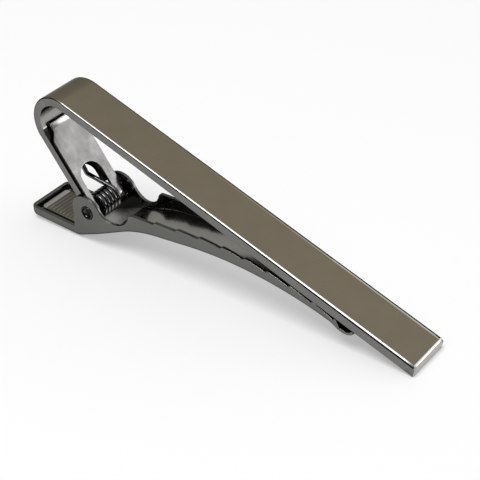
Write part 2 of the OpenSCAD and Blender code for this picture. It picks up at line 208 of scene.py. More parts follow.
# ---------------------------------------------------------------- materials
def add(tree, kind, inputs=None, **settings):
    """A new node, with its settings and the values of its inputs."""
    node = tree.nodes.new(kind)
    for key, value in settings.items():
        setattr(node, key, value)
    for key, value in (inputs or {}).items():
        node.inputs[key].default_value = value
    return node


MIX_A, MIX_B, MIX_RESULT = 6, 7, 2      # a colour mix node's sockets
DRAWN = (60.0, 4200.0, 4200.0)          # grain drawn out along the piece
PLAIN_WIRE = (1500.0, 1500.0, 1500.0)
SMOOTHEST = 0.03                        # least roughness
CLOUD_RANGE = (0.3, 0.7)                # the noise's usual range
EDGE_RANGE = (0.52, 0.62)               # pointiness from which an edge is rubbed, and at which it is fully so
GRAIN_DEPTH = 0.00002


def metal(name, colour, roughness, grain=DRAWN, turn=TILT, spread=0.04, bump=0.02, worn=0.12,
          rim=0.5, patches=0.04, cloud_size=320.0, dent=0.0):
    """Plated metal: fine drawn grain along the piece, soft patches in its tone and finish, and rubbed edges."""
    m = bpy.data.materials.new(name)
    m.use_nodes = True
    t = m.node_tree
    bsdf = t.nodes["Principled BSDF"]
    bsdf.inputs["Metallic"].default_value = 1.0
    bsdf.inputs["Specular Tint"].default_value = (rim, rim, rim, 1)
    where = add(t, "ShaderNodeTexCoord")
    level = add(t, "ShaderNodeMapping", {"Rotation": (0, radians(-turn), 0)})
    t.links.new(where.outputs["Object"], level.inputs["Vector"])
    cloud = add(t, "ShaderNodeTexNoise", {"Scale": cloud_size, "Detail": 4.0})
    t.links.new(level.outputs["Vector"], cloud.inputs["Vector"])
    # finish: soft patches round the roughness
    rough = add(t, "ShaderNodeMapRange", {"To Min": max(SMOOTHEST, roughness - spread), "To Max": roughness + spread})
    t.links.new(cloud.outputs["Fac"], rough.inputs["Value"])
    t.links.new(rough.outputs["Result"], bsdf.inputs["Roughness"])
    # tone: soft patches, then rubbed edges
    tone = add(t, "ShaderNodeMapRange", {"From Min": CLOUD_RANGE[0], "From Max": CLOUD_RANGE[1],
                                         "To Min": 1 - patches, "To Max": 1 + patches})
    t.links.new(cloud.outputs["Fac"], tone.inputs["Value"])
    base = add(t, "ShaderNodeMix", {"Factor": 1.0, MIX_A: (*colour, 1)}, data_type="RGBA", blend_type="MULTIPLY")
    t.links.new(tone.outputs["Result"], base.inputs[MIX_B])
    shape = add(t, "ShaderNodeNewGeometry")
    edge = add(t, "ShaderNodeMapRange", {"From Min": EDGE_RANGE[0], "From Max": EDGE_RANGE[1], "To Max": worn})
    t.links.new(shape.outputs["Pointiness"], edge.inputs["Value"])
    lighter = [min(1.0, c * 1.9 + 0.05) for c in colour]
    rubbed = add(t, "ShaderNodeMix", {MIX_B: (*lighter, 1)}, data_type="RGBA")
    t.links.new(edge.outputs["Result"], rubbed.inputs["Factor"])
    t.links.new(base.outputs[MIX_RESULT], rubbed.inputs[MIX_A])
    t.links.new(rubbed.outputs[MIX_RESULT], bsdf.inputs["Base Color"])
    # relief: drawn grain, on shallow dents
    stretch = add(t, "ShaderNodeMapping", {"Scale": grain})
    t.links.new(level.outputs["Vector"], stretch.inputs["Vector"])
    lines = add(t, "ShaderNodeTexNoise", {"Scale": 1.0, "Detail": 3.0})
    t.links.new(stretch.outputs["Vector"], lines.inputs["Vector"])
    relief = add(t, "ShaderNodeBump", {"Strength": bump, "Distance": GRAIN_DEPTH})
    t.links.new(lines.outputs["Fac"], relief.inputs["Height"])
    if dent:
        hollows = add(t, "ShaderNodeTexNoise", {"Scale": 420.0, "Detail": 2.0})
        t.links.new(level.outputs["Vector"], hollows.inputs["Vector"])
        dents = add(t, "ShaderNodeBump", {"Distance": dent})
        t.links.new(hollows.outputs["Fac"], dents.inputs["Height"])
        t.links.new(dents.outputs["Normal"], relief.inputs["Normal"])
    t.links.new(relief.outputs["Normal"], bsdf.inputs["Normal"])
    return m


# the bar
satin = metal("gunmetal_satin", (0.250, 0.212, 0.151), 0.27, patches=0.03, spread=0.02)
plain = metal("gunmetal_edge", (0.19, 0.188, 0.183), 0.15, rim=0.03)
roll_metal = metal("gunmetal_roll", (0.22, 0.215, 0.20), 0.12, rim=0.03)
# painted highlight: a light line along the bar's far edge, much brighter than the metal
far_edge_highlight_metal = metal("gunmetal_painted_highlight_line", (0.62, 0.60, 0.55), 0.16, rim=1.0)
# painted light: the inside of the loop and leg, lighter than the same metal elsewhere
loop_painted_light = metal("gunmetal_loop_painted_light", (0.32, 0.317, 0.305), 0.2, rim=0.3)
# painted shade: the bar's underside over the jaw, much darker than the same metal in the loop
under_painted_shade = metal("gunmetal_under_painted_shade", (0.05, 0.05, 0.048), 0.25, rim=0.3)
# painted highlight: a near-white line on the lip round the tip
tip_highlight_metal = metal("gunmetal_painted_tip_highlight", (0.88, 0.86, 0.83), 0.16, rim=1.0)
# painted light: the tip's end face, lighter than the same metal on the sides
tip_end_painted_light = metal("gunmetal_tip_painted_light", (0.40, 0.39, 0.38), 0.15, rim=1.0)
# painted shade: near-black for the rolled edges' dark outline, the leg's inside by the bracket, the slot and the
# bracket's edges
painted_shade_black = metal("gunmetal_painted_shade", (0.022, 0.022, 0.020), 0.35, rim=0.3)
# the jaw and its pad
jaw_metal = metal("gunmetal_jaw", (0.158, 0.158, 0.15), 0.24, rim=0.2)
# painted light: the web's inner face, lighter than the same metal outside
web_painted_light = metal("gunmetal_web_painted_light", (0.44, 0.425, 0.385), 0.18, rim=0.3)
# painted light: the web under the coil made near-white, where the coil and walls shade it
bowl_painted_light = metal("gunmetal_bowl_painted_light", (0.97, 0.96, 0.92), 0.44, rim=0.3)
wall_metal = metal("gunmetal_wall", (0.16, 0.16, 0.15), 0.12, rim=0.3)
pad_metal = metal("gunmetal_pad", (0.18, 0.17, 0.139), 0.38, rim=0.3)
# painted light: the pad's plain band, lighter than the pad's metal
band_painted_light = metal("gunmetal_band_painted_light", (0.58, 0.57, 0.53), 0.3)
# the bracket, pin and spring
bright = metal("bright_nickel", (0.38, 0.376, 0.368), 0.18, turn=TILT + RETURN, worn=0.2, patches=0.14,
               cloud_size=700.0, spread=0.07, bump=0.06, rim=0.8, dent=0.00004)
pin_metal = metal("dark_rivet", (0.055, 0.054, 0.052), 0.12, rim=0.3)
# painted shade: near-black inside the rivets' hollow ends
pin_hollow_shade = metal("dark_rivet_painted_hollow_shade", (0.02, 0.02, 0.019), 0.3, rim=0.3)
wire_metal = metal("spring_wire", (0.13, 0.13, 0.13), 0.10, grain=PLAIN_WIRE, rim=0.4)


# ---------------------------------------------------------------- front bar with its loop and return leg
# The strip is made flat, with x along its outer face from the tip and z the depth inside it, and then bent.
FLAT = LENGTH - LOOP_R
BENT = LOOP_R * radians(180 - RETURN)
TOTAL = FLAT + BENT + LEG
BEND_STEPS = 56
SKIN, TRIM = 0.004, 0.01        # keep the outer face and the tip just inside the solid's
EDGE_FADE = 0.42                # share that the rolled edges lose towards the loop
TIP_DEEP, BLEND = 0.4, 0.55     # deeper roll at the tip, and how round its corners are
LEAN, LEAN_FROM = 0.2, 3.0      # the end face's lean, and how far from the tip it fades out
TIP_CUTS = (1.0, 1.4)           # more cuts near the tip, for its lean
BAR_ROUND = 0.13
HIGHLIGHT_LINE_START, HIGHLIGHT_LINE_WIDTH = 22.0, 0.19         # painted highlight line along the far edge: where it starts, its width at the tip


def slot_cutter(name, low, high, start=0.0, matrix=ON_LEG):
    """The slot's space, round at the end nearer the loop and open at the other."""
    r = SLOT_W / 2
    c = (SLOT_START + r + start, -SLOT_SHIFT)
    past = c[0] + 8
    outline = [v2(past, c[1] - r), v2(past, c[1] + r)] + arc(c, r, 90, 270, 28)
    return prism(name, outline, low, high, axis="Z", matrix=matrix)


def on_strip(s, depth):
    """The point of the side outline at s along the outer face from the tip, and depth inside it."""
    depth += SKIN
    if s <= FLAT:
        swell = min(1.0, max(0.0, (LENGTH - s - SWELL[0]) / (SWELL[1] - SWELL[0])))
        return v2(LENGTH - s, -depth * (1 + (TIP_THICK / THICK - 1) * swell))
    if s <= FLAT + BENT:
        a = 90 + degrees((s - FLAT) / LOOP_R)
        return loop_c + (LOOP_R - depth) * v2(cosd(a), sind(a))
    return leg_start + (s - FLAT - BENT) * leg_along + depth * leg_out


def rolled_edge(soft=0.6, slope=0.05, corner=0.27, steep=28, steps=7):
    """Outline of the rolled edge as (distance from the side, depth): soft shoulder, short slope, rounded corner."""
    points = [(-soft * sind(a), soft * (1 - cosd(a))) for a in [steep * i / steps for i in range(steps + 1)]]
    x, z = points[-1][0] - slope * cosd(steep), points[-1][1] + slope * sind(steep)
    for i in range(steps + 1):
        a = steep + (90 - steep) * i / steps
        points.append((x - corner * (sind(a) - sind(steep)), z + corner * (cosd(steep) - cosd(a))))
    return [(x - points[-1][0], z) for x, z in reversed(points)]


ROLL = rolled_edge()
ROLL_W = ROLL[-1][0]


def roll_depth(side, tip):
    """Depth of the rolled edge at a distance from the side and from the tip."""
    near = max(0.0, BLEND - abs(side - tip)) / BLEND
    d = min(max(0.0, min(side, tip) - near * near * BLEND / 4), ROLL_W)
    for (a, low), (b, high) in zip(ROLL, ROLL[1:]):
        if d <= b:
            depth = low + (high - low) * (d - a) / (b - a)
            break
    return depth * (1 + TIP_DEEP * side * side / (side * side + tip * tip + 1e-9))


plan = [v2(TRIM, -WIDTH / 2), v2(TOTAL, -WIDTH / 2), v2(TOTAL, WIDTH / 2), v2(TRIM, WIDTH / 2)]
bar = prism("front_bar_dressed", plan, 0, THICK, axis="Z")
combine(bar, slot_cutter("slot_cut", -1, THICK + 1, start=FLAT + BENT, matrix=Matrix()), "DIFFERENCE")
clean(bar, flat=0.1)


def bar_weight(mid, e):
    """Small roundings, none along the outer face's edges, which are rolled below."""
    upright = abs(e.verts[0].co.z - e.verts[1].co.z) > 0.01
    in_slot = mid.x > FLAT + BENT + 0.5 and abs(mid.y) < WIDTH / 2 - 0.1
    if mid.z < 0.01 and not in_slot:
        return 0.0
    return 1.0 if upright else 0.7


round_edges(bar, BAR_ROUND, 3, weight=bar_weight, angle=50)
highlight_line_edge, highlight_line_grow = WIDTH / 2 - ROLL_W, HIGHLIGHT_LINE_WIDTH / (LENGTH - HIGHLIGHT_LINE_START)
with mesh_of(bar) as bm:
    across = [TRIM + d for d, z in ROLL[1:]] + [TRIM + d for d in TIP_CUTS]
    across += [LENGTH - SWELL[1], LENGTH - SWELL[0]]
    across += [FLAT + BENT * i / BEND_STEPS for i in range(BEND_STEPS + 1)]
    for s in across:
        cut(bm, (s, 0, 0), (1, 0, 0), near=0.0005)
    for d, z in ROLL[1:]:
        cut(bm, (0, WIDTH / 2 - d, 0), (0, 1, 0), near=0.0005)
        cut(bm, (0, d - WIDTH / 2, 0), (0, 1, 0), near=0.0005)
    cut(bm, (LENGTH - HIGHLIGHT_LINE_START, highlight_line_edge, 0), (-highlight_line_grow, 1, 0), near=0.0005)
    for v in bm.verts:
        side, tip, depth = WIDTH / 2 - abs(v.co.y), v.co.x - TRIM, v.co.z
        share = 1 - EDGE_FADE * min(1.0, v.co.x / FLAT)
        drop = roll_depth(side, tip) * share
        if side < ROLL_W - 0.001 and v.co.x < FLAT + BENT:
            v.co.y = (WIDTH / 2 - side * share) * (1 if v.co.y > 0 else -1)
        depth = drop + depth * (1 - drop / THICK)
        s = v.co.x + LEAN * (1 - depth / THICK) * max(0.0, 1 - tip / LEAN_FROM) ** 2
        p = on_strip(s, depth)
        v.co = (p.x, v.co.y, p.y)
    bmesh.ops.recalc_face_normals(bm, faces=bm.faces[:])
    if bm.calc_volume(signed=True) < 0:
        bmesh.ops.reverse_faces(bm, faces=bm.faces[:])


# Faces are told apart by their depth inside the outer face and their tilt in degrees away from facing outwards.
STRAIGHT_ABOVE = -2.0           # the straight part lies above this level
TIP_END, LIP_END = 0.6, 1.2     # lengths of the end face's region, with painted light, and of the lip's, with a painted highlight, at the tip
OUTLINE_NEAR, OUTLINE_FAR, OUTLINE_FAR_TIP = 38, 8, 4       # tilt from which the dark outline of painted shade starts
OUTLINE_TO, OUTLINE_DEEP, SIDEWAYS = 76, 0.38, 0.09
HIGHLIGHT_LINE_TILT, HIGHLIGHT_LINE_END = 4, 0.5
ROLL_DEEP, ROLL_TILT = 0.3, 50
TIP_HIGHLIGHT_FROM, TIP_HIGHLIGHT_TO, SATIN_TO = 13, 42, 12                     # tilts of the lip's painted highlight, and of the satin elsewhere
DARK_BELOW, DARK_ALONG, SLOT_ALONG = -4, -0.7, 4            # where the return leg's inside gets black painted shade
UNDER_SHADE_FROM = 12                 # the underside gets painted shade from here to the tip


def bar_pick(c, n):
    """Satin on the outer face, with a painted highlight line and a dark outline of painted shade at its far edge.
    Polished edges, a painted highlight on the lip and painted light on the end face at the tip, painted shade on the
    underside, painted light on the inside of the loop, and black painted shade round the bracket and in the slot."""
    along, depth = on_leg(c)
    if c.z > STRAIGHT_ABOVE and c.x > LOOP_R:
        depth, out = -c.z, Vector((0, 0, 1))
    elif along > 0:
        out = -in_3d(leg_out)
    else:
        from_centre = v2(c.x, c.z) - loop_c
        depth, out = LOOP_R - from_centre.length, in_3d(from_centre).normalized()
    tilt = degrees(acos(max(-1.0, min(1.0, n.dot(out)))))
    if n.x > 0.5 and c.x > LENGTH - TIP_END:
        return tip_end_painted_light
    outline_shade_from = OUTLINE_NEAR if c.y < 0 else OUTLINE_FAR if c.x < SWELL[1] else OUTLINE_FAR_TIP
    if depth < OUTLINE_DEEP and outline_shade_from < tilt < OUTLINE_TO and abs(n.y) > SIDEWAYS and n.x < abs(n.y):
        # painted shade: a dark outline on the lower part of the rolled edges
        return painted_shade_black
    # painted highlight line along the far edge, widening towards the tip
    highlight_line_from = SWELL[1] if c.y > highlight_line_edge else HIGHLIGHT_LINE_START
    if tilt < HIGHLIGHT_LINE_TILT and c.y > highlight_line_edge - HIGHLIGHT_LINE_WIDTH and highlight_line_from < c.x < LENGTH - HIGHLIGHT_LINE_END:
        return far_edge_highlight_metal
    if depth < ROLL_DEEP and tilt < ROLL_TILT:
        if c.x > LENGTH - LIP_END and n.x > abs(n.y):
            return tip_highlight_metal if TIP_HIGHLIGHT_FROM < tilt < TIP_HIGHLIGHT_TO else satin if tilt < TIP_HIGHLIGHT_TO else tip_end_painted_light
        return satin if tilt < SATIN_TO else roll_metal
    inside = depth > THICK - 0.02 and abs(n.y) < 0.5
    slot_wall = abs(c.y) < WIDTH / 2 - 0.4 and depth > 0.05 and along > SLOT_ALONG
    # painted shade: the leg's inside beside the bracket and the slot's walls are black
    if c.z < DARK_BELOW and along > DARK_ALONG and (inside or slot_wall):
        return painted_shade_black
    if inside:
        return under_painted_shade if c.x > UNDER_SHADE_FROM else loop_painted_light
    return plain


finish_piece(bar, [satin, plain, painted_shade_black, tip_end_painted_light, far_edge_highlight_metal, roll_metal, loop_painted_light, tip_highlight_metal, under_painted_shade], "clip",
             ["front_bar"], pick=bar_pick)


# ---------------------------------------------------------------- hinge bracket
BR_SHEET, BR_W, BR_END_W = 0.45, 5.8, 4.2
BR_ROUND = 0.09
TINE_FIT = 0.01
fit_r = PIN_R + TINE_FIT
roll_r = fit_r + BR_SHEET
lap_c, lap_r = (0, LOOP_R), LOOP_R - THICK          # the upper end lies against the loop's inside
LAP_FROM = 250
pc = (PIN_REACH, PIN_LEVEL)
low_gap = PIN_LEVEL + 0.15


def side_angle(r, level):
    """Angle of the point on the left of a circle round the pin at a level."""
    return degrees(atan2(level - pc[1], -sqrt(r * r - (level - pc[1]) ** 2)))


outline = arc(lap_c, lap_r, LAP_FROM, 270, 10)
outline += arc(pc, fit_r, side_angle(fit_r, THICK), side_angle(fit_r, low_gap) - 360, 36)
outline += arc(pc, roll_r, side_angle(roll_r, low_gap) - 360, side_angle(roll_r, THICK + BR_SHEET), 40)
outline += arc(lap_c, lap_r - BR_SHEET, 270, LAP_FROM, 10)
bracket = prism("hinge_bracket_dressed", outline, -BR_W / 2, BR_W / 2, matrix=ON_LEG)
half, end_half = BR_W / 2, BR_END_W / 2
edge_plan = [(-3, end_half), (0.2, end_half), (0.55, end_half + 0.12), (1.25, half - 0.12), (1.7, half), (9.4, half),
             (10.1, half - 0.08), (10.7, half - 0.3), (11.2, half - 0.42), (14, half - 0.42)]
plan = [v2(x, -y) for x, y in edge_plan] + [v2(x, y) for x, y in reversed(edge_plan)]
combine(bracket, prism("plan_cut", plan, -3, 6, axis="Z", matrix=ON_LEG), "INTERSECT")
combine(bracket, slot_cutter("slot_cut", -3, 6), "DIFFERENCE")
clean(bracket)
round_edges(bracket, BR_ROUND, 3)


def bracket_pick(c, n):
    """Bright faces; black painted shade on the side edges, the slot's walls and the upper end."""
    along, depth = on_leg(c)
    slot_wall = abs(c.y) < 2.2 and 4 < along < 9.5 and abs(n.dot(in_3d(leg_out))) < 0.4
    end = along < -0.5 and n.dot(in_3d(leg_along)) < -0.7
    # painted shade: side edges, slot walls and upper end get the near-black material
    return painted_shade_black if abs(n.y) > 0.75 or slot_wall or end else bright


finish_piece(bracket, [bright, painted_shade_black], "clip", ["hinge_bracket"], pick=bracket_pick)


# ---------------------------------------------------------------- jaw lever
HINGE, ARM, PAD = 42.2, 25.7, 17.2          # slopes of the web at the hinge, of the arm and of the thumb pad
FOOT_DROP, FOOT_FRONT, FOOT_BACK = 3.3, 7.25, 4.0          # the web under the pin, and its corners before and behind
ear_in = WIDTH / 2 + EAR_GAP
ear_half = ear_in + SHEET
h_along = v2(cosd(HINGE), sind(HINGE))
pad_along, pad_up = v2(cosd(PAD), sind(PAD)), v2(-sind(PAD), cosd(PAD))
foot = pin + FOOT_DROP * v2(sind(HINGE), -cosd(HINGE))
bend_corner = foot + FOOT_FRONT * h_along
NOSE_H, NOSE_R, NOSE_FLAT = 1.2, 1.55, 0.6          # the curled nose
BEND_R, ARM_R = 20.0, 50.0                          # radii of the bend before the arm, and of the arm's end
nose_z = -(TIP_THICK + CLOSED + NOSE_H)
arm_rise = ARM_R * (1 - cosd(ARM))
nose_x = bend_corner.x + (nose_z - bend_corner.y - arm_rise) / tan(radians(ARM)) + ARM_R * sind(ARM)
arm_c = v2(nose_x, nose_z - ARM_R)
bend_cut = BEND_R * tan(radians((HINGE - ARM) / 2))
bend_c = bend_corner + bend_cut * v2(cosd(ARM), sind(ARM)) + BEND_R * v2(sind(ARM), -cosd(ARM))
curl_c = v2(nose_x + NOSE_FLAT, nose_z + NOSE_R)
curl = 90 - degrees(asin((NOSE_R - NOSE_H) / (NOSE_R - SHEET)))
PAD_L, HEEL_R, RIM_H, CORNER = 8.397, 2.0, 1.5, 0.8          # thumb pad and its bend, rim and corner
heel = foot - FOOT_BACK * h_along
heel_cut = HEEL_R * tan(radians((HINGE - PAD) / 2))
heel_c = heel - heel_cut * pad_along + HEEL_R * pad_up
FLARE_OUT, FLARE_IN = pin.x + 2.0, pin.x + 6.3          # the walls close in from the ears' width to the bar's
BOWL_END = FLARE_OUT + 1.9                              # the dull part of the web under the coil, with brighter painted light, ends here
OUTER_R, INNER_R, JAW_ROUND = 0.6, 0.16, 0.055          # rounding along the web outside and inside, and of edges
PAD_ROWS = (2.2, 3.6, 5.0, 6.4)
HIGH = 11                                               # well above the walls


def on_pad(along, up):
    return heel + (along - PAD_L) * pad_along + up * pad_up


def half_width(x, depth):
    s = min(1.0, max(0.0, (x - FLARE_OUT) / (FLARE_IN - FLARE_OUT)))
    s = 0.55 * s + 0.45 * s * s * (3 - 2 * s)
    return ear_half + (WIDTH / 2 - ear_half) * s - depth


def tub(name, depth, edge_r):
    """The space inside the jaw's outline, depth inside its outer face: bottom along the web with rounded edges,
    sides far above the walls."""
    rc = CORNER - depth
    rows = []           # bottom point, half width, direction of the side
    for i in range(9):
        a = 90 * i / 8
        rows.append((on_pad(depth + rc * (1 - cosd(a)), depth + rc * (1 - sind(a))),
                     ear_half - depth - rc + rc * sind(a), pad_up))
    for s in PAD_ROWS:
        rows.append((on_pad(s, depth), ear_half - depth, pad_up))
    for i, p in enumerate(arc(heel_c, HEEL_R - depth, 270 + PAD, 270 + HINGE, 7)):
        up = (pad_up * (1 - i / 7) + v2(0, 1) * (i / 7)).normalized()
        rows.append((p, ear_half - depth, up))
    first = bend_c + (BEND_R + depth) * v2(cosd(90 + HINGE), sind(90 + HINGE))
    last = rows[-1][0]
    points = [last + (first - last) * i / 10 for i in range(1, 10)]
    points += arc(bend_c, BEND_R + depth, 90 + HINGE, 90 + ARM, 10)
    points += arc(arm_c, ARM_R + depth, 90 + ARM, 90, 34)
    points += arc(curl_c, NOSE_R - depth, 270, 270 + curl, 12)
    for p in points:
        rows.append((p, half_width(p.x, depth), v2(0, 1)))
    bm = bmesh.new()
    rings = []
    steps = 5
    for p, w, up in rows:
        r = edge_r * (1 - 0.8 * min(1.0, max(0.0, (p.x - nose_x + 1.0) / 1.0)))         # smaller at the nose
        corner = [(w - r + r * cosd(90 * k / steps), r - r * sind(90 * k / steps)) for k in range(steps + 1)]
        ring = [(-y, h) for y, h in corner] + [(y, h) for y, h in reversed(corner)] + [(w, HIGH), (-w, HIGH)]
        rings.append([bm.verts.new((p.x + h * up.x, y, p.y + h * up.y)) for y, h in ring])
    n = len(rings[0])
    for a, b in zip(rings, rings[1:]):
        for k in range(n):
            bm.faces.new((a[k], a[(k + 1) % n], b[(k + 1) % n], b[k]))
    bm.faces.new(rings[0])
    bm.faces.new(list(reversed(rings[-1])))
    return new_object(name, bm)


EAR_R, AHEAD, RISE, PEAK_R, CREST_R = 2.3, 3.35, 3.5, 0.8, 45.0          # ear, and the scallop's centre before it
PITCH, TOOTH, STEP = 3.25, 0.3, 0.3          # teeth: pitch, height and length of the step
FIRST_TOOTH, CREST_BACK, WALL_BACK = 3.95, 3.9, 0.6
EAR_SLIM = 0.27                              # the ears' back edges lie this far inside their circle
HOLE_R, HOLE_SHIFT = 0.96, v2(-0.02, -0.06)
scallop_c = pin + v2(AHEAD, RISE)
scallop_r = hypot(AHEAD, RISE) - EAR_R
meet = degrees(atan2(RISE, AHEAD))
crest_level = -(TIP_THICK + CLOSED)
crest_x = nose_x - CREST_BACK
crest_start = crest_x - CREST_R * sind(ARM)
peak_x = scallop_c.x + scallop_r + PEAK_R
first_tooth = scallop_c.x + scallop_r + FIRST_TOOTH
wall_end = nose_x - WALL_BACK
tooth_count = floor((wall_end - first_tooth) / PITCH)


def crest(x):
    """Level of the walls' upper edges, without their teeth."""
    if x > crest_x:
        return crest_level
    if x > crest_start:
        return crest_level - CREST_R + sqrt(CREST_R ** 2 - (crest_x - x) ** 2)
    return crest_level - CREST_R * (1 - cosd(ARM)) - (crest_start - x) * tan(radians(ARM))


def jaw_profile():
    """Side view of the jaw: rim, ears, scallop, teeth, slanted wall end, and the nose's inner side. Open below."""
    points = [on_pad(-1.5, RIM_H), on_pad(PAD_L - 0.4, RIM_H)]
    ear_from, ear_steps = 180 + PAD, 40
    for i, p in enumerate(arc(pin, EAR_R, ear_from, meet, ear_steps)):
        back = max(0.0, -cosd(ear_from + (meet - ear_from) * i / ear_steps))
        points.append(p + v2(-EAR_SLIM * back ** 1.5, 0))
    points += arc(scallop_c, scallop_r, 180 + meet, 360, 30)[1:]
    points += arc(v2(peak_x, crest(peak_x) - PEAK_R / cosd(ARM)), PEAK_R, 180, 90 + ARM, 10)[1:]
    for i in range(tooth_count + 1):
        x = first_tooth + i * PITCH
        before = points[-1].x + 0.2
        run = x - STEP - before
        for s in [before + run * k / 4 for k in range(1, 5)]:
            points.append(v2(s, crest(s) - TOOTH * (s - before) / run))
        points.append(v2(x, crest(x)))
    points.append(v2(wall_end, crest_level))
    level = nose_z + SHEET - 0.02
    points += [v2(wall_end + (crest_level - level), level)]
    points += arc(curl_c, NOSE_R - SHEET + 0.02, 270, 270 + curl, 12)
    points += [curl_c + 2.6 * v2(cosd(270 + curl), sind(270 + curl)), v2(nose_x + 5, nose_z - 3),
               v2(bend_corner.x + 6, bend_corner.y - 3), heel + v2(3, -4), on_pad(-1.5, -3)]
    return points


jaw = tub("jaw_lever_dressed", 0.0, OUTER_R)
combine(jaw, tub("jaw_inside", SHEET, INNER_R), "DIFFERENCE")
combine(jaw, prism("jaw_cut", jaw_profile(), -6, 6), "INTERSECT")
combine(jaw, prism("hole_cut", arc(pin + HOLE_SHIFT, HOLE_R, 0, 360 - 7.5, 47), -6, 6), "DIFFERENCE")
clean(jaw, near=0.006, flat=0.6)
round_edges(jaw, JAW_ROUND, 2)
with mesh_of(jaw) as bm:
    cut(bm, (BOWL_END, 0, 0), (1, 0, 0))


def jaw_pick(c, n):
    """The inner faces of the walls are polished; the web's inner face is polished and lighter with painted light, and
    dull and lighter still under the coil.
    """
    if n.z > 0.5 and c.x > heel.x + 0.5 and abs(c.y) < half_width(c.x, SHEET) - 0.1:
        return bowl_painted_light if c.x < BOWL_END else web_painted_light
    inner = abs(n.y) > 0.7 and n.y * c.y < 0 and abs(c.y) < half_width(c.x, SHEET) + 0.02
    return wall_metal if inner and c.x > pin.x - 3 else jaw_metal


finish_piece(jaw, [jaw_metal, web_painted_light, bowl_painted_light, wall_metal], "jaw", ["jaw_lever"], pick=jaw_pick)

# raised panel with its plain band and ribs, pressed into the pad's floor
MARGIN, PANEL_TOP = 0.75, SHEET + 0.6
PANEL_CORNER, PANEL_ROUND = 0.5, 0.16
BAND, RIB_PITCH, RIB_MARGIN = 0.95, 0.6, 0.42
RIB_R, RIB_RISE, RIB_END = 0.23, 0.08, 0.12          # half width, height, and length of the sloping ends
panel_start = SHEET + 0.32
panel_end = PAD_L - heel_cut - 0.1
panel_half = ear_in - MARGIN
panel = prism("pad_panel", [v2(panel_start, -panel_half), v2(panel_end, -panel_half), v2(panel_end, panel_half),
                            v2(panel_start, panel_half)], 0.2, PANEL_TOP, axis="Z")
with mesh_of(panel) as bm:
    ends = [e for e in bm.edges if all(v.co.x < panel_start + 0.01 for v in e.verts)
            and abs(e.verts[0].co.z - e.verts[1].co.z) > 0.1]
    bmesh.ops.bevel(bm, geom=ends, offset=PANEL_CORNER, segments=6, profile=0.5, affect="EDGES")
round_edges(panel, PANEL_ROUND, 4, angle=50)
band_end = panel_start + BAND
rib_half = panel_half - RIB_MARGIN
with mesh_of(panel) as bm:
    cut(bm, (band_end - 0.05, 0, 0), (1, 0, 0))
    for i in range(int((panel_end - band_end) / RIB_PITCH)):
        middle = band_end + (i + 0.5) * RIB_PITCH
        rows = []
        for y, grow in ((-rib_half - RIB_END, 0.0), (-rib_half, 1.0), (rib_half, 1.0), (rib_half + RIB_END, 0.0)):
            rows.append([bm.verts.new((middle - RIB_R * cosd(t), y, PANEL_TOP - 0.02 + RIB_RISE * grow * sind(t)))
                         for t in [180 * k / 8 for k in range(9)]])
        for a, b in zip(rows, rows[1:]):
            for k in range(8):
                bm.faces.new((a[k], b[k], b[k + 1], a[k + 1]))
ON_PAD = Matrix.Translation(in_3d(on_pad(0, 0))) @ Matrix.Rotation(radians(-PAD), 4, "Y")


def panel_pick(c, n):
    """A plain band along the tail's rim, made brighter than the pad with painted light."""
    return band_painted_light if c.x < band_end - 0.05 and n.z > 0.3 else pad_metal


finish_piece(panel, [pad_metal, band_painted_light], "jaw", [], matrix=CLIP @ ON_PAD, pick=panel_pick)


# ---------------------------------------------------------------- hinge pin
def lathe(name, profile, steps, matrix):
    """A closed turned solid: profile is [(along, radius)] with radius 0 at both ends."""
    bm = bmesh.new()
    rings = []
    for s, r in profile:
        if r == 0:
            rings.append([bm.verts.new((0, s, 0))])
        else:
            turns = [360 * k / steps for k in range(steps)]
            rings.append([bm.verts.new((r * cosd(a), s, r * sind(a))) for a in turns])
    for a, b in zip(rings, rings[1:]):
        for k in range(steps):
            j = (k + 1) % steps
            loop = [a[0]] if len(a) == 1 else [a[k], a[j]]
            loop += [b[0]] if len(b) == 1 else [b[j], b[k]]
            bm.faces.new(loop)
    bm.transform(matrix)
    return new_object(name, bm)


SEAT = ear_half + 0.04                          # level of the rolled rim
RIM_R, RIM_W, HOLLOW = 0.95, 0.09, 0.42         # its radius and thickness, and the depth of the hollow end
head = [(SEAT - 0.3, PIN_R), (SEAT - 0.2, RIM_R - 0.02)]
head += [(SEAT + RIM_W * sind(a), RIM_R - RIM_W + RIM_W * cosd(a)) for a in range(0, 151, 25)]
head += [(SEAT + 0.06 - HOLLOW * sind(a), RIM_R - 0.22 - 0.55 * (1 - cosd(a))) for a in range(0, 91, 15)]
head.append((SEAT + 0.05 - HOLLOW, 0))
whole = [(-along, r) for along, r in reversed(head)] + head
pin_obj = lathe("hinge_pin_dressed", whole, 48, Matrix.Translation(in_3d(pin)))


def pin_pick(c, n):
    """Painted shade darkens the inside of the hollow ends."""
    in_hollow = abs(c.y) > 2 and hypot(c.x - pin.x, c.z - pin.y) < 0.45 and abs(n.y) > 0.3
    return pin_hollow_shade if in_hollow else pin_metal


finish_piece(pin_obj, [pin_metal, pin_hollow_shade], "clip", ["hinge_pin"], sharp=40, pick=pin_pick)


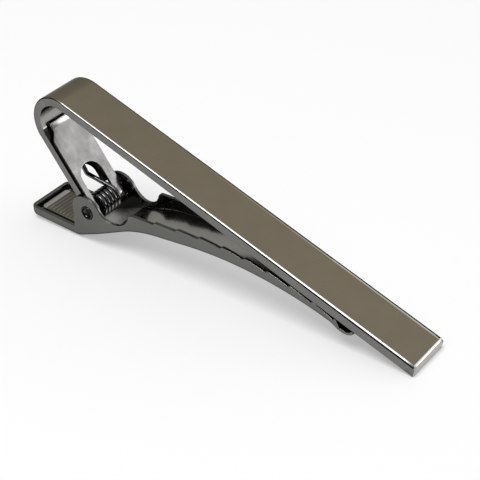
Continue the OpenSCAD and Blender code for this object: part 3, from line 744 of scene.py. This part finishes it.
# ---------------------------------------------------------------- torsion spring
WIRE, COIL_R = 0.31, 1.43           # radii of the wire and of the coil's middle line
FULL_TURNS, TURN_PITCH = 5, 0.64    # turns if both legs left at the same angle, and the room for each
BEND = 40                           # the upper leg's bend
upper_heading = 180 - RETURN + BEND
upper_a, lower_a, lower_heading = upper_heading - 90, 310, 220
sweep = 360 * FULL_TURNS + upper_a - lower_a
coil_half = TURN_PITCH * sweep / 720
upper_start = pin + COIL_R * v2(cosd(upper_a), sind(upper_a))
lower_start = pin + COIL_R * v2(cosd(lower_a), sind(lower_a))
level = (upper_start - leg_start).dot(leg_out)
corner_level = -(WIRE + 0.35)
upper_corner = upper_start + (level - corner_level) / sind(BEND) * v2(cosd(upper_heading), sind(upper_heading))
upper_tip = leg_start + (SLOT_START - 0.9) * leg_along - (WIRE + 0.05) * leg_out
low_dir = v2(cosd(lower_heading), sind(lower_heading))
drop = (lower_start - heel).dot(pad_up) - PANEL_TOP - WIRE - 0.08          # down to just above the ribs
lower_tip = lower_start - drop / low_dir.dot(pad_up) * low_dir


def placed(p, y):
    return Vector((p.x, y - SLOT_SHIFT, p.y))


def bent(a, b, c, r, n):
    """Points of a rounded corner at b."""
    u, w = (a - b).normalized(), (c - b).normalized()
    half_angle = u.angle(w) / 2
    back = min(r / tan(half_angle), 0.45 * (a - b).length, 0.45 * (c - b).length)
    s, e = b + u * back, b + w * back
    return [(1 - t) ** 2 * s + 2 * t * (1 - t) * b + t * t * e for t in [i / n for i in range(n + 1)]]


coil_steps = int(ceil(sweep / 360 * 40))
coil = []
for i in range(coil_steps + 1):
    a = upper_a - sweep * i / coil_steps
    coil.append(placed(pin + COIL_R * v2(cosd(a), sind(a)), coil_half * (1 - 2 * i / coil_steps)))
tip3, corner3 = placed(upper_tip, coil_half - 0.5), placed(upper_corner, coil_half - 0.5)
low3 = placed(lower_tip, -coil_half)
path = [tip3] + bent(tip3, corner3, coil[0], 0.5, 8)
path += [path[-1] + (coil[0] - path[-1]) * i / 6 for i in range(1, 6)]
path += coil + [coil[-1] + (low3 - coil[-1]) * i / 6 for i in range(1, 7)]


def tube(name, points, radius, sides):
    """A round wire along points, with slightly rounded ends."""
    n = len(points)
    bm = bmesh.new()
    across = Vector((0, 1, 0))
    rings = []
    for i, p in enumerate(points):
        d = (points[min(i + 1, n - 1)] - points[max(i - 1, 0)]).normalized()
        across = (across - across.dot(d) * d).normalized()
        up = d.cross(across)
        spokes = [cosd(360 * k / sides) * across + sind(360 * k / sides) * up for k in range(sides)]
        rings.append([bm.verts.new(p + radius * spoke) for spoke in spokes])
        if i in (0, n - 1):
            out = -d if i == 0 else d
            cap = [bm.verts.new(p + out * radius * 0.25 + 0.75 * radius * spoke) for spoke in spokes]
            for k in range(sides):
                j = (k + 1) % sides
                bm.faces.new((rings[-1][k], rings[-1][j], cap[j], cap[k]))
            bm.faces.new(cap)
    for a, b in zip(rings, rings[1:]):
        for k in range(sides):
            j = (k + 1) % sides
            bm.faces.new((a[k], a[j], b[j], b[k]))
    return new_object(name, bm)


spring = tube("torsion_spring_dressed", path, WIRE, 16)
finish_piece(spring, [wire_metal], None, ["torsion_spring"], sharp=60)
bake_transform(spring)


# ---------------------------------------------------------------- floor
FLOOR_HALF, FLOOR_LEVEL = 3, -0.00002          # metres
WHITE = (1, 1, 1, 1)
FLOOR_GREY = (0.9, 0.9, 0.9, 1)
FLOOR_GLOW = 0.38               # share of plain white in what the camera and mirrors see; the rest holds the shadow
bm = bmesh.new()
corners = [(-1, -1), (1, -1), (1, 1), (-1, 1)]
bm.faces.new([bm.verts.new((FLOOR_HALF * x, FLOOR_HALF * y, 0)) for x, y in corners])
floor_obj = new_object("table", bm)
floor_obj.location = (0, 0, FLOOR_LEVEL)
fm = bpy.data.materials.new("white_table")
fm.use_nodes = True
t = fm.node_tree
t.nodes.clear()
rays = add(t, "ShaderNodeLightPath")
seen = rays.outputs["Is Camera Ray"]
for other in ("Is Glossy Ray", "Is Transmission Ray"):
    either = add(t, "ShaderNodeMath", operation="MAXIMUM")
    t.links.new(seen, either.inputs[0])
    t.links.new(rays.outputs[other], either.inputs[1])
    seen = either.outputs[0]
share = add(t, "ShaderNodeMath", {1: FLOOR_GLOW}, operation="MULTIPLY")
t.links.new(seen, share.inputs[0])
diffuse = add(t, "ShaderNodeBsdfDiffuse", {"Color": FLOOR_GREY})
glow = add(t, "ShaderNodeEmission", {"Color": WHITE, "Strength": 1.0})
mix = add(t, "ShaderNodeMixShader")
out = add(t, "ShaderNodeOutputMaterial")
t.links.new(share.outputs[0], mix.inputs["Fac"])
t.links.new(diffuse.outputs[0], mix.inputs[1])
t.links.new(glow.outputs[0], mix.inputs[2])
t.links.new(mix.outputs[0], out.inputs["Surface"])
floor_obj.data.materials.append(fm)

# ---------------------------------------------------------------- world
# Grey levels of the room by height, from straight down (0) to straight up (1), behind and before the clip.
BACK_WALL = ((0.0, 0.36), (0.06, 0.48), (0.2, 0.46), (0.5, 0.35), (0.62, 0.29), (0.8, 0.27), (0.93, 0.3), (1.0, 0.4))
FRONT_WALL = ((0.0, 0.03), (0.35, 0.03), (0.65, 0.10), (0.85, 0.3), (0.95, 0.9), (1.0, 0.9))
ROOM_STRENGTH = 2.4
LAMP_TOWARD, LAMP_CONE, LAMP_LEVEL = (0.74, 0.66, 0.12), (5, 13), 2.1
world = bpy.data.worlds.new("studio")
scene.world = world
world.use_nodes = True
wt = world.node_tree
wt.nodes.clear()


def grey(level):
    return (level, level, level, 1)


def ramp(source, stops):
    node = add(wt, "ShaderNodeValToRGB")
    wt.links.new(source, node.inputs["Fac"])
    elements = node.color_ramp.elements
    elements[0].position, elements[1].position = stops[0][0], stops[-1][0]
    elements[0].color, elements[1].color = grey(stops[0][1]), grey(stops[-1][1])
    for pos, level in stops[1:-1]:
        elements.new(pos).color = grey(level)
    return node.outputs["Color"]


def blend_by(factor, a, b):
    """Between a, a colour's socket, and b, a socket or a grey level."""
    node = add(wt, "ShaderNodeMix", data_type="RGBA")
    wt.links.new(factor, node.inputs["Factor"])
    wt.links.new(a, node.inputs[MIX_A])
    if isinstance(b, float):
        node.inputs[MIX_B].default_value = grey(b)
    else:
        wt.links.new(b, node.inputs[MIX_B])
    return node.outputs[MIX_RESULT]


def smooth_step(source, low, high, to_low=0.0, to_high=1.0):
    node = add(wt, "ShaderNodeMapRange", {"From Min": low, "From Max": high, "To Min": to_low, "To Max": to_high},
               interpolation_type="SMOOTHSTEP")
    wt.links.new(source, node.inputs["Value"])
    return node.outputs["Result"]


def toward(direction, inner, outer):
    """1 inside a cone of inner degrees round a direction, falling to 0 at outer degrees."""
    dot = add(wt, "ShaderNodeVectorMath", {1: Vector(direction).normalized()}, operation="DOT_PRODUCT")
    wt.links.new(coord.outputs["Generated"], dot.inputs[0])
    return smooth_step(dot.outputs["Value"], cosd(outer), cosd(inner))


coord = add(wt, "ShaderNodeTexCoord")
split = add(wt, "ShaderNodeSeparateXYZ")
wt.links.new(coord.outputs["Generated"], split.inputs[0])
front, back = ramp(split.outputs["Z"], FRONT_WALL), ramp(split.outputs["Z"], BACK_WALL)
room = blend_by(smooth_step(split.outputs["Y"], -0.2, 0.25), front, back)
room = blend_by(smooth_step(split.outputs["X"], -0.8, 0.1, 0.5, 0.0), room, 0.0)          # darker towards the loop
room = blend_by(toward(LAMP_TOWARD, *LAMP_CONE), room, LAMP_LEVEL)
studio_light = add(wt, "ShaderNodeBackground", {"Strength": ROOM_STRENGTH})
wt.links.new(room, studio_light.inputs["Color"])
backdrop = add(wt, "ShaderNodeBackground", {"Color": WHITE, "Strength": 1.0})
rays = add(wt, "ShaderNodeLightPath")
mix = add(wt, "ShaderNodeMixShader")
out = add(wt, "ShaderNodeOutputWorld")
wt.links.new(rays.outputs["Is Camera Ray"], mix.inputs["Fac"])
wt.links.new(studio_light.outputs[0], mix.inputs[1])
wt.links.new(backdrop.outputs[0], mix.inputs[2])
wt.links.new(mix.outputs[0], out.inputs["Surface"])

# ---------------------------------------------------------------- lamp and camera
LAMP_AT, LAMP_AIM = Vector((0.01, -0.14, 0.5)), Vector((0.01, 0, 0))
lamp_data = bpy.data.lights.new("overhead", "AREA")
lamp_data.shape, lamp_data.size, lamp_data.size_y, lamp_data.energy = "RECTANGLE", 0.24, 0.28, 1.3
lamp = bpy.data.objects.new("overhead", lamp_data)
scene.collection.objects.link(lamp)
lamp.location = LAMP_AT
lamp.rotation_mode = "QUATERNION"
lamp.rotation_quaternion = (LAMP_AT - LAMP_AIM).to_track_quat("Z", "Y")

# the camera, fitted to the bar's edges in the picture
cam_data = bpy.data.cameras.new("camera")
cam = bpy.data.objects.new("camera", cam_data)
scene.collection.objects.link(cam)
cam_data.sensor_width = 36.0
cam_data.lens = 99.6722
cam_data.clip_start, cam_data.clip_end = 0.005, 20
cam.rotation_mode = "QUATERNION"
cam.location = (0.0870609, -0.0975905, 0.0985941)
cam.rotation_quaternion = Quaternion((0.8458405, 0.4221468, 0.1766360, 0.2741276))
scene.camera = cam
scene.view_settings.view_transform = "Standard"
